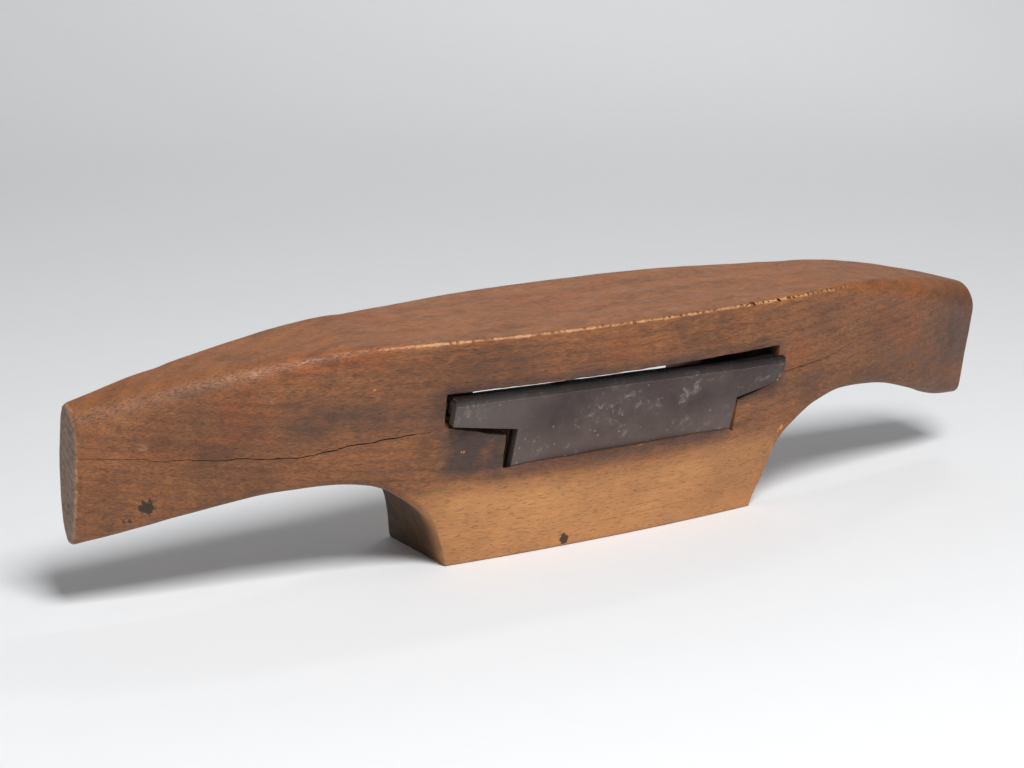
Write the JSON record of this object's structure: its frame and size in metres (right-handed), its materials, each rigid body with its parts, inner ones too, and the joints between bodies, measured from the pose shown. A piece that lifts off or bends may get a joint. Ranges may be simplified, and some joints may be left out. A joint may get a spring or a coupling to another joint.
{
  "type": "hand plane",
  "caption": "Two-handled wooden hand plane: a beech stock with a bowed sole, arched handles, a T-shaped double iron in its mouth and a wedge behind it.",
  "frame": {"origin": "centre of the heel's flat rest face, on which the plane stands", "axes": "+X along the stock from the left handle to the right one, -Y out of the sole, +Z from the heel up to the toe"},
  "size_m": [0.406, 0.0659, 0.0943],
  "materials": {
    "stock_beech": "old beech, handled to a dull polish, darker in its recesses",
    "wedge_beech": "paler beech, dry and unpolished",
    "patina_iron": "dark brown-grey iron patina with light specks",
    "screw_steel": "dull darkened steel, brighter in the slot"
  },
  "bodies": {
    "stock_body": {"stock": "stock_beech"},
    "cutter": {"cutting_iron": "patina_iron"},
    "cap": {"cap_iron": "patina_iron"},
    "left_screw": {"cap_screw_left": "screw_steel"},
    "right_screw": {"cap_screw_right": "screw_steel"},
    "wedge_body": {"wedge": "wedge_beech"}
  },
  "joints": [
    {"name": "iron_depth", "type": "slide", "parent": "stock_body", "child": "cutter", "axis": [0.0183, -0.2789, 0.9601], "range_m": [-0.0015, 0.0003]},
    {"name": "cap_setback", "type": "slide", "parent": "cutter", "child": "cap", "axis": [0.0183, -0.2789, 0.9601], "range_m": [-0.0025, 0.0003]},
    {"name": "left_screw_turn", "type": "hinge", "parent": "cutter", "child": "left_screw", "pos_m": [-0.02456, -0.0278, 0.02852], "axis": [0, 0.9603, 0.279], "continuous": true},
    {"name": "right_screw_turn", "type": "hinge", "parent": "cutter", "child": "right_screw", "pos_m": [0.03143, -0.02751, 0.02754], "axis": [0, 0.9603, 0.279], "continuous": true},
    {"name": "wedge_tap", "type": "slide", "parent": "stock_body", "child": "wedge_body", "axis": [0.0183, -0.2789, 0.9601], "range_m": [0, 0.008]}
  ]
}
